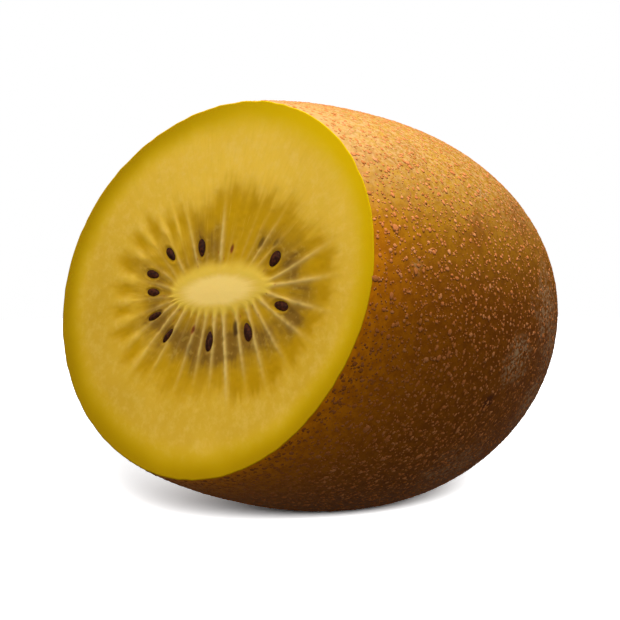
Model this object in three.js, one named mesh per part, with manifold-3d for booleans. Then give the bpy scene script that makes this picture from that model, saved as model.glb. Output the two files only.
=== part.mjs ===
// A golden kiwi fruit with one end cut off, lying on its side with the cut face tipped up.
// Millimetres, +Z up. +Y runs along the fruit, away from the cut face, and +X is to the right of that face.
// The origin is on the surface that the fruit lies on, under the middle of its outer box.
//
// The fruit is one solid, as it grew. Its skin, cut face, core, locule walls and stalk scar are one closed
// surface, worked out from two numbers: how far round the fruit a point is, and how far along a path that
// starts in the middle of the core, crosses the cut face to its rim, and follows the skin to the stalk end.

import * as THREE from "three";
import { ParametricGeometry } from "three/addons/geometries/ParametricGeometry.js";
import { mergeVertices } from "three/addons/utils/BufferGeometryUtils.js";
import Module from "manifold-3d";

const wasm = await Module();
wasm.setup();

const TURN = 2 * Math.PI;
const degrees = THREE.MathUtils.degToRad;

// The whole fruit, before it was cut
const HALF_LENGTH = 36.5;
const HALF_WIDTH = 26;
const HALF_THICKNESS = 23.1;
const SECTION_ROLL = degrees(19.4); // the wide way across the fruit, turned up from level
const LOBES = 3;
const LOBE_SHARE = 0.0117; // how far the faint lobes round the section swell it, as a share of its radius
const LOBE_ANGLE = degrees(53.5);
const PROFILE_POWER = 2.17; // 2 is an ellipse, and more is fuller
const EGG_SHARE = 0.044; // how much fuller the stalk half is than the cut half

// How it was cut and how it lies
const CUT_DISTANCE = 12.4; // from the middle of the fruit's length to the cut
const CUT_LEAN = 0.022; // the cut goes back this much for each millimetre up
const TILT = degrees(14); // the stalk end hangs lower than the cut end
const FLAT_DEPTH = 0.5; // the soft skin is pressed flat by this much where the fruit rests

// What the cut face shows
const CORE = { x: 0.8, z: 0, halfLength: 7, halfHeight: 2.2, turn: degrees(9), proud: 0.35 };
const LOCULE_END = 0.53; // the seed chambers end here, as a share of the way from core to rim
const LOCULE_SINK = 0.15;
const WALL_RISE = 0.28;
const WALL_SPACING = 3; // every third spoke carries a wall between two seed chambers
const SEED = { halfLength: 1.15, halfWidth: 0.55, halfHeight: 0.45, sunk: 0.1, sides: 8, bands: 6 };
const SEED_DISTANCE = 0.2; // from core to rim
const SEED_ANGLES = [-128, -90, -66, -53, -14, 37, 58, 82, 113, 143, 168, 183, 207];
const SEED_STRAY = 0.035; // each seed lies a little nearer to the core or further out than the rest
const SEED_AIM = 0.1; // a seed points outwards along the way to the place this much further out
const SEED_DRAWS = 7;

// The stalk end, and the raised corky spots on the skin
const STALK_DIMPLE = { radius: 4.2, depth: 0.9 };
const STALK_SCAR = { radius: 1.9, rise: 0.75, steepness: 6 };
const SPOT_SHARE = 0.24; // of the places that could carry a spot
const SPOT_RISE = [0.14, 0.3];
const SPOT_DRAWS = 41;
const BARE_RINGS = { rim: 1, stalk: 7 }; // rings with no spots, next to the rim and round the stalk scar

// How finely the surface is divided
const SPOKES = 96;
const CORE_RINGS = 3;
const FLESH_RINGS = 9;
const SKIN_RINGS = 31;
const RIM_RING = CORE_RINGS + FLESH_RINGS;
const ALL_RINGS = RIM_RING + SKIN_RINGS;
const MERGE_DISTANCE = 1e-4;

// Repeatable draws from 0 to 1
function drawsFrom(seed) {
  let state = seed;
  return () => {
    state = (state + 0x6d2b79f5) | 0;
    let mixed = Math.imul(state ^ (state >>> 15), 1 | state);
    mixed = (mixed + Math.imul(mixed ^ (mixed >>> 7), 61 | mixed)) ^ mixed;
    return ((mixed ^ (mixed >>> 14)) >>> 0) / 2 ** 32;
  };
}

// The section's radius at an angle round the fruit: an ellipse turned by SECTION_ROLL, with faint lobes
function sectionRadius(angle) {
  const across = Math.cos(angle - SECTION_ROLL) / HALF_WIDTH;
  const along = Math.sin(angle - SECTION_ROLL) / HALF_THICKNESS;
  return (1 + LOBE_SHARE * Math.cos(LOBES * (angle - LOBE_ANGLE))) / Math.hypot(across, along);
}

// The section's size at a place along the fruit, as a share of its size in the middle
function profileShare(y) {
  const place = THREE.MathUtils.clamp(y / HALF_LENGTH, -1, 1);
  return Math.sqrt(1 - Math.abs(place) ** PROFILE_POWER) * (1 + EGG_SHARE * place);
}

function skinPoint(angle, y) {
  const radius = sectionRadius(angle) * profileShare(y);
  return new THREE.Vector3(radius * Math.cos(angle), y, radius * Math.sin(angle));
}

// Where the leaning cut leaves the skin, found by going to and fro between the two until they agree
function rimPoint(angle) {
  const ROUNDS = 8;
  let point = skinPoint(angle, -CUT_DISTANCE);
  for (let round = 0; round < ROUNDS; round++) {
    point = skinPoint(angle, cutPlane(point.z));
  }
  return point;
}

function cutPlane(z) {
  return -CUT_DISTANCE + CUT_LEAN * z;
}

// The core's edge is an ellipse turned a little in the cut face
function corePoint(angle, share = 1) {
  const x = CORE.halfLength * Math.cos(angle) * share;
  const z = CORE.halfHeight * Math.sin(angle) * share;
  const turnedX = CORE.x + x * Math.cos(CORE.turn) - z * Math.sin(CORE.turn);
  const turnedZ = CORE.z + x * Math.sin(CORE.turn) + z * Math.cos(CORE.turn);
  return new THREE.Vector3(turnedX, cutPlane(turnedZ), turnedZ);
}

// A place on the flat cut, a share of the way from the core's edge to the rim
function fleshPoint(angle, share) {
  return corePoint(angle).lerp(rimPoint(angle), share);
}

// How far the cut face stands out at each place: a low mound on the core, thin walls between the seed
// chambers, and chambers that are sunk a little
function faceRise(spoke, ring) {
  if (ring < CORE_RINGS) return CORE.proud * Math.sqrt(1 - (ring / (CORE_RINGS + 1)) ** 2);
  const share = (ring - CORE_RINGS) / FLESH_RINGS;
  if (share >= LOCULE_END) return 0;
  const fade = Math.cos((share / LOCULE_END) * (Math.PI / 2));
  return fade * (spoke % WALL_SPACING === 0 ? WALL_RISE : -LOCULE_SINK);
}

// The rise of the corky spot at each corner of the skin's grid, with no two spots side by side
function spotRises() {
  const draw = drawsFrom(SPOT_DRAWS);
  const rises = Array.from({ length: ALL_RINGS + 1 }, () => new Array(SPOKES).fill(0));
  for (let ring = RIM_RING + BARE_RINGS.rim; ring <= ALL_RINGS - BARE_RINGS.stalk; ring++) {
    for (let spoke = ring % 2; spoke < SPOKES; spoke += 2) {
      const chance = draw();
      const height = THREE.MathUtils.lerp(...SPOT_RISE, draw());
      if (chance < 2 * SPOT_SHARE) rises[ring][spoke] = height;
    }
  }
  return rises;
}
const spots = spotRises();

// The stalk end sinks into a dimple, with the round scar of the stalk standing in the middle of it
function stalkRise(point) {
  const away = Math.hypot(point.x, point.z);
  const dimple = -STALK_DIMPLE.depth * Math.exp(-((away / STALK_DIMPLE.radius) ** 2));
  return dimple + STALK_SCAR.rise * Math.exp(-((away / STALK_SCAR.radius) ** STALK_SCAR.steepness));
}

// The outward direction of the whole fruit's surface, near enough for lifting a spot
function outward(point) {
  return new THREE.Vector3(
    point.x / HALF_WIDTH ** 2,
    Math.max(point.y, 0) / HALF_LENGTH ** 2,
    point.z / HALF_THICKNESS ** 2,
  ).normalize();
}

function surfacePoint(round, along, target) {
  const spoke = Math.round(round * SPOKES) % SPOKES;
  const ring = Math.round(along * ALL_RINGS);
  const angle = -(spoke / SPOKES) * TURN; // this way round turns the faces outwards
  if (ring < CORE_RINGS) {
    target.copy(corePoint(angle, ring / CORE_RINGS));
    target.y -= faceRise(spoke, ring);
  } else if (ring < RIM_RING) {
    target.copy(fleshPoint(angle, (ring - CORE_RINGS) / FLESH_RINGS));
    target.y -= faceRise(spoke, ring);
  } else {
    const rim = rimPoint(angle);
    const share = Math.sin((((ring - RIM_RING) / SKIN_RINGS) * Math.PI) / 2);
    target.copy(skinPoint(angle, THREE.MathUtils.lerp(rim.y, HALF_LENGTH, share)));
    target.addScaledVector(outward(target), spots[ring][spoke]);
    if (target.y > 0) target.y += stalkRise(target);
  }
}

// A closed surface as a solid: shared corners are merged, and the faces that have no area are dropped
function solidFrom(geometry) {
  const bare = geometry.clone();
  bare.deleteAttribute("normal");
  bare.deleteAttribute("uv");
  const merged = mergeVertices(bare, MERGE_DISTANCE);
  const corners = merged.index.array;
  const kept = [];
  for (let i = 0; i < corners.length; i += 3) {
    const [a, b, c] = corners.slice(i, i + 3);
    if (a !== b && b !== c && c !== a) kept.push(a, b, c);
  }
  const vertProperties = merged.getAttribute("position").array;
  return new wasm.Manifold(new wasm.Mesh({ numProp: 3, vertProperties, triVerts: new Uint32Array(kept) }));
}

function geometryFrom(solid) {
  const { vertProperties, triVerts } = solid.getMesh();
  const geometry = new THREE.BufferGeometry();
  geometry.setAttribute("position", new THREE.BufferAttribute(vertProperties, 3));
  geometry.setIndex(new THREE.BufferAttribute(triVerts, 1));
  return geometry.toNonIndexed();
}

// One seed, pointed towards the core and half sunk in the wall of its chamber
function seedGeometry(angle, distance) {
  const place = fleshPoint(angle, distance);
  const outer = fleshPoint(angle, distance + SEED_AIM);
  const lie = Math.atan2(outer.z - place.z, outer.x - place.x);
  return new THREE.SphereGeometry(1, SEED.sides, SEED.bands)
    .rotateZ(Math.PI / 2)
    .scale(SEED.halfLength, SEED.halfHeight, SEED.halfWidth)
    .rotateY(-lie)
    .translate(place.x, place.y + SEED.sunk, place.z);
}

function fruitSolid() {
  let fruit = solidFrom(new ParametricGeometry(surfacePoint, SPOKES, ALL_RINGS));
  const draw = drawsFrom(SEED_DRAWS);
  for (const seedAngle of SEED_ANGLES) {
    const distance = SEED_DISTANCE + SEED_STRAY * (2 * draw() - 1);
    fruit = fruit.add(solidFrom(seedGeometry(degrees(seedAngle), distance)));
  }
  return fruit;
}

// The fruit tipped as it lies, pressed flat underneath, and set down with its outer box centred
function lyingGeometry() {
  const tipped = geometryFrom(fruitSolid()).rotateX(-TILT);
  tipped.computeBoundingBox();
  const floor = tipped.boundingBox.min.z + FLAT_DEPTH;
  const BLOCK = 200;
  const above = new THREE.BoxGeometry(BLOCK, BLOCK, BLOCK).translate(0, 0, floor + BLOCK / 2);
  const lying = geometryFrom(solidFrom(tipped).intersect(solidFrom(above)));
  lying.computeBoundingBox();
  const middle = lying.boundingBox.getCenter(new THREE.Vector3());
  return lying.translate(-middle.x, -middle.y, -floor);
}

const skinMaterial = new THREE.MeshStandardMaterial({ color: 0x9a661e, roughness: 0.6, metalness: 0 });
const fruit = new THREE.Mesh(lyingGeometry(), skinMaterial);
fruit.name = "golden_kiwi";

const kiwi = new THREE.Group();
kiwi.add(fruit);

export default kiwi;
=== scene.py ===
"""A golden kiwi fruit with one end cut off, lying on its side in soft studio light.

Metres, +Z up. Each piece is worked out on the untipped fruit, in a frame of its own with Y along its length
and its middle at the origin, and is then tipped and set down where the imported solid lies.
"""

import math

import bpy
import numpy as np
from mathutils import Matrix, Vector


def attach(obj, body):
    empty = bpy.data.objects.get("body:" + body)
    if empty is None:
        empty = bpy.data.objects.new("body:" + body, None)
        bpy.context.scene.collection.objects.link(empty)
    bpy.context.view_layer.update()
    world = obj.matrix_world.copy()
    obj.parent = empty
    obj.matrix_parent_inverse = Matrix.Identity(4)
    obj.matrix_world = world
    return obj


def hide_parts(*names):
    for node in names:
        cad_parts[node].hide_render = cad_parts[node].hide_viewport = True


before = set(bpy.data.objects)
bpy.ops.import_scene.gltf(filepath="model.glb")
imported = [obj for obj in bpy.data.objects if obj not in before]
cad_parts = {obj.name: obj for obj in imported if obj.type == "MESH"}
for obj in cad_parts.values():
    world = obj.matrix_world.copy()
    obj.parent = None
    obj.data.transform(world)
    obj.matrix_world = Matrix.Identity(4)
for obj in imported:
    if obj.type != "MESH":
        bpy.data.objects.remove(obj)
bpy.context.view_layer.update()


# The skin is a thin, tough, nearly hairless peel that grew over one plump, slightly flattened body, with a
# shallow dimple at the stalk. A leaning cut took one end off, and the peel ends there in a clean edge. The
# fruit lies tipped on its side, and its weight presses a small flat spot under it.
HALF_LENGTH = 0.0365
HALF_WIDTH = 0.026
HALF_THICKNESS = 0.0231
SECTION_ROLL = math.radians(19.4)
LOBE_SHARE = 0.0117
LOBE_ANGLE = math.radians(53.5)
PROFILE_POWER = 2.17
EGG_SHARE = 0.044
CUT_DISTANCE = 0.0124
CUT_LEAN = 0.022
TILT = math.radians(14)
FRUIT_MIDDLE = Vector((0.00027, -0.00898, 0.02473))
FULL_TURN = 2 * math.pi
STALK_DIMPLE = {"radius": 0.0042, "depth": 0.0009}
STALK_MOUND = {"radius": 0.0019, "rise": 0.00075}
BROAD_DENTS = {"depth": 0.00007, "size": 0.011}
SMALL_DENTS = {"depth": 0.00002, "size": 0.0017}
RIM_DENTS = {"depth": 0.00007, "size": 0.0011, "reach": 0.0012}
SKIN_DEPTH = 0.00014
SKIN_SET_BACK = 0.00008
SKIN_AROUND = 420
SKIN_RINGS = 150
LINING_RINGS = 10
LIT_THROUGH = 0.007
CUT_SEARCHES = 8
# Heights and lengths on the untipped fruit between which its skin turns lighter gold, partly the sun side's
# own colour and partly painted light, gathers dust with a painted sheen, and grows less dull
SUN_SIDE_AND_LIT_HEIGHTS = (0.002, 0.019)
SUN_SIDE_AND_LIT_LENGTHS = (-0.006, 0.026)
DUST_AND_SHEEN_HEIGHTS = (0.009, 0.0225)
DULL_HEIGHTS = (-0.009, 0.004)
# Pale scuffs and dark bruises: degrees round the fruit, place along it, radius and strength
SCUFFS = (
    (-4.5, 0.0144, 0.0036, 1.0), (-17.5, 0.0232, 0.0045, 0.7), (38.5, 0.0078, 0.0014, 0.9),
    (13.5, -0.0062, 0.001, 0.6), (-44.5, 0.0149, 0.006, 0.45), (140, 0.012, 0.004, 0.8),
    (-130, 0.002, 0.005, 0.7), (84, 0.021, 0.003, 0.6), (13, 0.0205, 0.0055, 0.8), (2, 0.024, 0.005, 0.7),
)
BRUISES = ((-18.5, 0.0116, 0.0013, 0.95), (152, 0.0035, 0.0007, 0.6))
RAGGED_SIZES = (0.0011, 0.0004)


def section_radius(angle):
    """An ellipse's radius at an angle round the fruit, turned by SECTION_ROLL and swelled by three faint
    lobes."""
    across = np.cos(angle - SECTION_ROLL) / HALF_WIDTH
    along = np.sin(angle - SECTION_ROLL) / HALF_THICKNESS
    return (1 + LOBE_SHARE * np.cos(3 * (angle - LOBE_ANGLE))) / np.hypot(across, along)


def profile_share(y):
    """The section's size at y along the fruit, as a share of its size in the middle: the root of 1 -
    |y|^power."""
    place = np.clip(y / HALF_LENGTH, -1, 1)
    return np.sqrt(1 - np.abs(place) ** PROFILE_POWER) * (1 + EGG_SHARE * place)


def skin_point(angle, y):
    """A point on the fruit's plain outside, at an angle round it and y along it."""
    radius = section_radius(angle) * profile_share(y)
    return np.stack(np.broadcast_arrays(radius * np.cos(angle), y, radius * np.sin(angle)), axis=-1)


def cut_plane(z):
    """Where the knife passed, at height z: further back by CUT_LEAN for each unit up."""
    return -CUT_DISTANCE + CUT_LEAN * z


def rim_point(angle):
    """Where the cut leaves the skin, found by going to and fro between the plane and the skin until they
    agree."""
    point = skin_point(angle, np.full_like(angle, -CUT_DISTANCE))
    for _ in range(CUT_SEARCHES):
        point = skin_point(angle, cut_plane(point[..., 2]))
    return point


def outward(points):
    """The way out of an ellipsoid of the fruit's size at each point: each coordinate over its half size
    squared."""
    way = points / np.array([HALF_WIDTH, HALF_LENGTH, HALF_THICKNESS]) ** 2
    return way / np.linalg.norm(way, axis=-1, keepdims=True)


def soft_noise(points, size, seed):
    """Smooth random values from -1 to 1 in lumps about size across: random numbers on the corners of a
    cubic lattice, blended between corners by 3t^2 - 2t^3 along each axis."""
    lattice = 64
    numbers = np.random.default_rng(seed).uniform(-1, 1, (lattice, lattice, lattice))
    place = points / size
    corner = np.floor(place).astype(int)
    share = place - corner
    share = share * share * (3 - 2 * share)
    total = np.zeros(points.shape[:-1])
    for step in np.ndindex(2, 2, 2):
        weight = np.prod(np.where(step, share, 1 - share), axis=-1)
        x, y, z = np.moveaxis((corner + step) % lattice, -1, 0)
        total += weight * numbers[x, y, z]
    return total


def ramp(values, start, end):
    """Rises smoothly from 0 at start to 1 at end, by 3t^2 - 2t^3."""
    share = np.clip((values - start) / (end - start), 0, 1)
    return share * share * (3 - 2 * share)


def bell(values, middle, width):
    """A hump that is 1 at middle and falls away on both sides, by the exponential of minus the square."""
    return np.exp(-((values - middle) / width) ** 2)


def stalk_rise(points):
    """How far the skin is moved along the fruit's length near the stalk: down into a dimple, up on a flat
    mound."""
    away = np.hypot(points[..., 0], points[..., 2])
    dimple = -STALK_DIMPLE["depth"] * np.exp(-((away / STALK_DIMPLE["radius"]) ** 2))
    mound = STALK_MOUND["rise"] * np.exp(-((away / STALK_MOUND["radius"]) ** 6))
    return np.where(points[..., 1] > 0, dimple + mound, 0)


def skin_surface(angle, y, lift=0.0):
    """A point of the real skin: the plain form, dented gently in two sizes and more roughly by the cut,
    with the stalk's dimple, and lifted."""
    points = skin_point(angle, y)
    dents = BROAD_DENTS["depth"] * soft_noise(points, BROAD_DENTS["size"], 3)
    dents += SMALL_DENTS["depth"] * soft_noise(points, SMALL_DENTS["size"], 4)
    by_the_cut = np.exp(-np.abs(points[..., 1] - cut_plane(points[..., 2])) / RIM_DENTS["reach"])
    dents += RIM_DENTS["depth"] * soft_noise(points, RIM_DENTS["size"], 5) * by_the_cut
    points = points + outward(points) * (dents + lift)[..., None]
    points[..., 1] += stalk_rise(points)
    return points


def lying(points):
    """The untipped fruit's points tipped by TILT, moved to where it lies, and pressed flat at the floor."""
    x, y, z = points[..., 0], points[..., 1], points[..., 2]
    tipped_y = y * math.cos(TILT) + z * math.sin(TILT)
    tipped_z = z * math.cos(TILT) - y * math.sin(TILT)
    placed = np.stack([x, tipped_y, tipped_z], axis=-1) + np.array(FRUIT_MIDDLE)
    placed[..., 2] = np.maximum(placed[..., 2], 0)
    return placed


def with_poles(rings, first, last):
    """The rings' values as one list, with the values at the first pole before them and the last pole's
    after."""
    wide = rings.reshape(rings.shape[0] * rings.shape[1], -1)
    return np.concatenate([np.reshape(first, (1, -1)), wide, np.reshape(last, (1, -1))])


def ring_faces(rings, around):
    """The faces of a closed surface of rings between two poles: a fan, bands of four-sided faces, and a
    fan."""
    grid = 1 + np.arange(rings * around).reshape(rings, around)
    beside = np.roll(grid, -1, axis=1)
    last = rings * around + 1
    first_fan = np.stack([np.zeros(around, int), grid[0], beside[0]], axis=-1)
    bands = np.stack([grid[:-1], grid[1:], beside[1:], beside[:-1]], axis=-1).reshape(-1, 4)
    last_fan = np.stack([grid[-1], np.full(around, last), beside[-1]], axis=-1)
    return [first_fan, bands, last_fan]


def new_piece(name, points, face_blocks, marks=None):
    """A smooth mesh object from points and blocks of like faces, with a number or a vector at each point
    for every named mark."""
    mesh = bpy.data.meshes.new(name)
    mesh.from_pydata(points.reshape(-1, 3), [], [face for block in face_blocks for face in block.tolist()])
    mesh.polygons.foreach_set("use_smooth", np.ones(len(mesh.polygons), bool))
    for mark, values in (marks or {}).items():
        is_vector = values.ndim > 1 and values.shape[-1] == 3
        kind, field = ("FLOAT_VECTOR", "vector") if is_vector else ("FLOAT", "value")
        mesh.attributes.new(mark, kind, "POINT").data.foreach_set(field, values.astype(np.float32).ravel())
    mesh.update()
    piece = bpy.data.objects.new(name, mesh)
    bpy.context.scene.collection.objects.link(piece)
    return piece


def patches(points, places, seed):
    """How strongly each point is marked by ragged round patches, each given by its place on the skin and
    radius."""
    marked = np.zeros(len(points))
    coarse, small = RAGGED_SIZES
    ragged = soft_noise(points, coarse, seed) + 0.6 * soft_noise(points, small, seed + 1)
    for degrees_round, y, radius, strength in places:
        middle = skin_point(np.array(math.radians(degrees_round)), np.array(y))
        away = np.linalg.norm(points - middle, axis=-1) / radius + 0.35 * ragged
        marked = np.maximum(marked, strength * (1 - ramp(away, 0.3, 1.1)))
    return marked


around = np.arange(SKIN_AROUND) / SKIN_AROUND * FULL_TURN
rim = rim_point(around)
outer_share = np.sin(np.linspace(0, 1, SKIN_RINGS + 1)[:-1] * math.pi / 2)[:, None]
inner_share = np.sin(np.linspace(0, 1, LINING_RINGS + 1)[1:][::-1] * math.pi / 2 * 0.98)[:, None]
outer_y = rim[:, 1] + (HALF_LENGTH - rim[:, 1]) * outer_share
inner_y = rim[:, 1] + (HALF_LENGTH - SKIN_DEPTH - rim[:, 1]) * inner_share
outer_rings = skin_surface(around[None, :], outer_y)
inner_rings = skin_surface(around[None, :], inner_y, -SKIN_DEPTH)
lip = skin_surface(around[None, :], rim[None, :, 1], np.array([[-SKIN_DEPTH], [-SKIN_DEPTH * 0.2]]))
lip += [0, SKIN_SET_BACK, 0]
outer_rings[0] += [0, SKIN_SET_BACK * 1.5, 0]
skin_rings = np.concatenate([inner_rings, lip, outer_rings])
outer_pole = np.array([0, HALF_LENGTH + STALK_MOUND["rise"] - STALK_DIMPLE["depth"], 0])
inner_pole = outer_pole - [0, 2 * SKIN_DEPTH, 0]
behind_cut = np.concatenate([[1], (skin_rings[..., 1] - rim[None, :, 1]).ravel(), [1]])
skin_points = with_poles(skin_rings, inner_pole, outer_pole)
upper_side = ramp(skin_points[:, 2], *SUN_SIDE_AND_LIT_HEIGHTS)
skin = new_piece(
    "skin",
    lying(skin_points),
    ring_faces(len(skin_rings), SKIN_AROUND),
    {
        # How near the cut each point is, for the painted glow of light through the flesh
        "near_cut": np.exp(-np.clip(behind_cut, 0, 1) / LIT_THROUGH),
        "sun_side_and_lit": upper_side * (1 - 0.5 * ramp(skin_points[:, 1], *SUN_SIDE_AND_LIT_LENGTHS)),
        "dust_and_sheen": ramp(skin_points[:, 2], *DUST_AND_SHEEN_HEIGHTS),
        "dull": 1 - 0.75 * ramp(skin_points[:, 2], *DULL_HEIGHTS),
        "scuffed": patches(skin_points, SCUFFS, 11),
        "bruised": patches(skin_points, BRUISES, 13),
    },
)

SKIN_BROWN = (0.208, 0.058, 0.0004, 1)
SKIN_GOLD = (0.49, 0.245, 0.003, 1)
SKIN_LIT_THROUGH_AMBER = (0.6, 0.188, 0.0, 1)
SKIN_PEACH = (0.62, 0.345, 0.125, 1)
SKIN_GLOW = (0.58, 0.36, 0.15, 1)
SKIN_SCURF = (0.46, 0.29, 0.15, 1)
SKIN_BRUISE = (0.09, 0.022, 0.004, 1)
SKIN_SHADE = (0.78, 0.72, 0.62, 1)


def adder(tree):
    """A helper that adds a node to the tree, with its settings, each input linked from a socket or set to a
    value."""

    def add(kind, inputs=None, **settings):
        node = tree.nodes.new(kind)
        for setting, value in settings.items():
            setattr(node, setting, value)
        for key, value in (inputs or {}).items():
            if isinstance(value, bpy.types.NodeSocket):
                tree.links.new(value, node.inputs[key])
            else:
                node.inputs[key].default_value = value
        return node

    return add


def mixed(add, share, first, second, blend="MIX"):
    """A colour that goes from first to second by share, each a colour or a socket."""
    inputs = {0: share, 6: first, 7: second}
    return add("ShaderNodeMix", inputs, data_type="RGBA", blend_type=blend).outputs[2]


def worked(add, value, factor, operation="MULTIPLY"):
    """A value times another, or worked with it by another sum."""
    return add("ShaderNodeMath", {0: value, 1: factor}, operation=operation).outputs[0]


def stepped(add, value, start, end):
    """A value turned into a mask that rises smoothly from 0 at start to 1 at end."""
    inputs = {"Value": value, "From Min": start, "From Max": end}
    return add("ShaderNodeMapRange", inputs, interpolation_type="SMOOTHSTEP").outputs[0]


def mark(add, name):
    """One of the piece's own marks, as a number at each point."""
    return add("ShaderNodeAttribute", attribute_name=name).outputs["Fac"]


def tinted(add, colour, name, tint, share=1.0):
    """A colour turned towards a tint where one of the piece's own marks is, by a share of the mark."""
    return mixed(add, worked(add, mark(add, name), share), colour, tint)


def noise(add, place, scale, detail, roughness=0.5):
    """Soft lumps of noise over a place, finer for a higher scale."""
    inputs = {"Vector": place, "Scale": scale, "Detail": detail, "Roughness": roughness}
    return add("ShaderNodeTexNoise", inputs).outputs[0]


def new_group(name, inputs, outputs):
    """An empty node group with its sockets: numbers for its inputs, and numbers, or a vector for a normal,
    for its outputs. Gives the group, its add helper, its input sockets by name, and its output node."""
    group = bpy.data.node_groups.new(name, "ShaderNodeTree")
    for socket, value in inputs.items():
        made = group.interface.new_socket(socket, in_out="INPUT", socket_type="NodeSocketFloat")
        made.default_value = value
    for socket in outputs:
        kind = "NodeSocketVector" if socket == "Normal" else "NodeSocketFloat"
        group.interface.new_socket(socket, in_out="OUTPUT", socket_type=kind)
    add = adder(group)
    return group, add, add("NodeGroupInput").outputs, add("NodeGroupOutput")


def fine_grain_group():
    """The fine unevenness that every surface of the fruit has: a noise as a mask, as roughness between two
    values, and, with an extra height added to it, as a relief."""
    inputs = {"Scale": 2600, "Smoothest": 0.4, "Roughest": 0.6, "Relief": 0.00005, "Extra Height": 0}
    group, add, given, out = new_group("fine_grain", inputs, ("Mask", "Roughness", "Normal"))
    place = add("ShaderNodeTexCoord").outputs["Object"]
    grain = noise(add, place, given["Scale"], 3, 0.6)
    wide = {
        "Value": grain, "From Min": 0.3, "From Max": 0.7,
        "To Min": given["Smoothest"], "To Max": given["Roughest"],
    }
    height = worked(add, grain, given["Extra Height"], "ADD")
    bump = {"Height": height, "Strength": 0.5, "Distance": given["Relief"]}
    group.links.new(grain, out.inputs["Mask"])
    group.links.new(add("ShaderNodeMapRange", wide).outputs[0], out.inputs["Roughness"])
    group.links.new(add("ShaderNodeBump", bump).outputs[0], out.inputs["Normal"])
    return group


def specks_group():
    """Small round specks scattered in the cells of a cellular pattern, with only a share of the cells
    taken."""
    inputs = {"Scale": 3000, "Size": 0.3, "Share": 0.5}
    group, add, given, out = new_group("specks", inputs, ("Mask",))
    place = add("ShaderNodeTexCoord").outputs["Object"]
    cells = add("ShaderNodeTexVoronoi", {"Vector": place, "Scale": given["Scale"]})
    near = {"Value": cells.outputs["Distance"], "From Min": given["Size"], "From Max": 0.0}
    near = add("ShaderNodeMapRange", near, interpolation_type="SMOOTHSTEP").outputs[0]
    number = add("ShaderNodeSeparateColor", {0: cells.outputs["Color"]}).outputs[0]
    taken = worked(add, number, given["Share"], "LESS_THAN")
    group.links.new(worked(add, near, taken), out.inputs["Mask"])
    return group


FINE_GRAIN = fine_grain_group()
SPECKS = specks_group()


def new_material(name, settings):
    """A material with its shader's own sockets set. Gives an add helper, and a function that joins a colour
    and a grain to the shader and gives the finished material."""
    material = bpy.data.materials.new(name)
    material.use_nodes = True
    shader = material.node_tree.nodes["Principled BSDF"]
    for socket, value in settings.items():
        shader.inputs[socket].default_value = value

    def finish(colour, grain):
        joined = {"Base Color": colour, "Roughness": grain["Roughness"], "Normal": grain["Normal"]}
        for socket, made in joined.items():
            material.node_tree.links.new(made, shader.inputs[socket])
        return material

    return adder(material.node_tree), finish


def grained(add, scale, smoothest, roughest, relief, extra_height=0.0):
    """The fine grain with a material's own values."""
    inputs = {"Scale": scale, "Smoothest": smoothest, "Roughest": roughest, "Relief": relief}
    inputs["Extra Height"] = extra_height
    return add("ShaderNodeGroup", node_tree=FINE_GRAIN, inputs=inputs).outputs


def speckled(add, scale, size, share):
    """The specks with a material's own values."""
    inputs = {"Scale": scale, "Size": size, "Share": share}
    return add("ShaderNodeGroup", node_tree=SPECKS, inputs=inputs).outputs[0]


def skin_finish():
    """Golden brown with a painted amber glow near the cut, where light would shine through the flesh, and
    lighter gold on the upper side, partly its own sun-side colour and partly painted light. Peach dust with
    a painted sheen lies there, with dull tan flecks and scuffs lower down, and a dark bruise or two."""
    add, finish = new_material("kiwi_skin", {"Specular IOR Level": 0.05})
    place = add("ShaderNodeTexCoord").outputs["Object"]
    blotch = noise(add, place, 130, 3)
    broad_patches = noise(add, place, 110, 4, 0.6)
    mottle = noise(add, place, 900, 3, 0.6)
    dust_noise = noise(add, place, 1900, 3, 0.7)

    # Painted glow: amber near the cut stands in for light shining through the cut flesh and the thin skin.
    colour = mixed(add, mark(add, "near_cut"), SKIN_BROWN, SKIN_LIT_THROUGH_AMBER)
    # Lighter gold on the upper side: partly the fruit's own sun-side colour, partly painted light from
    # above.
    sun_side_and_lit = worked(add, mark(add, "sun_side_and_lit"), stepped(add, blotch, 0.15, 0.5))
    colour = mixed(add, sun_side_and_lit, colour, SKIN_GOLD)
    shade = mixed(add, 1.0, colour, SKIN_SHADE, "MULTIPLY")
    colour = mixed(add, stepped(add, mottle, 0.62, 0.38), colour, shade)
    # Peach on the upper side: real dust, with a painted sheen where light would graze the fuzz.
    colour = tinted(add, colour, "dust_and_sheen", SKIN_PEACH, stepped(add, dust_noise, 0.4, 0.68))
    peach = worked(add, speckled(add, 3900, 0.42, 0.6), worked(add, mark(add, "dust_and_sheen"), 0.6))
    colour = mixed(add, peach, colour, SKIN_PEACH)
    # Painted glow: pale gold on the upper skin by the cut stands in for light shining through the flesh.
    glow = worked(add, worked(add, mark(add, "near_cut"), mark(add, "dust_and_sheen")), 0.6)
    colour = mixed(add, glow, colour, SKIN_GLOW)
    flecks = worked(add, speckled(add, 2500, 0.34, 0.5), stepped(add, broad_patches, 0.5, 0.72))
    colour = mixed(add, worked(add, flecks, worked(add, mark(add, "dull"), 0.5)), colour, SKIN_SCURF)
    scurf = worked(add, mark(add, "scuffed"), stepped(add, dust_noise, 0.44, 0.6))
    colour = mixed(add, worked(add, scurf, 0.8), colour, SKIN_SCURF)
    colour = tinted(add, colour, "bruised", SKIN_BRUISE, stepped(add, mottle, 0.3, 0.5))
    return finish(colour, grained(add, 2600, 0.42, 0.62, 0.00004, worked(add, scurf, 0.8)))


skin.data.materials.append(skin_finish())
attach(skin, "root")
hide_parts("golden_kiwi")


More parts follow.
